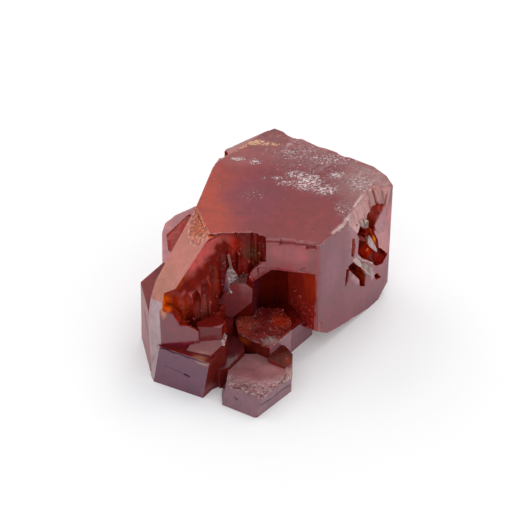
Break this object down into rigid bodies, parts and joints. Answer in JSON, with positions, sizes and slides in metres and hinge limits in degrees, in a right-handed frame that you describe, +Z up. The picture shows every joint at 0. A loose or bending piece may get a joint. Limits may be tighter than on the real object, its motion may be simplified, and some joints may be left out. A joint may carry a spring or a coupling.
{
  "type": "vanadinite specimen",
  "caption": "Cluster of stout, hexagonal, dark red vanadinite crystals grown together, with a fluted scoop, a cave and a pocket, that rests on its flat foot.",
  "frame": {"origin": "middle of the bounding box's bottom, on the plane that the specimen rests on", "axes": "+Z up, +Y from the low front crystals back to the broken rear, +X to the right as the front is faced"},
  "size_m": [0.0238, 0.0254, 0.0137],
  "materials": {
    "vanadinite": "glossy dark red crystal faces, duller where broken"
  },
  "bodies": {
    "root": {"crystal_cluster": "vanadinite"}
  },
  "joints": []
}
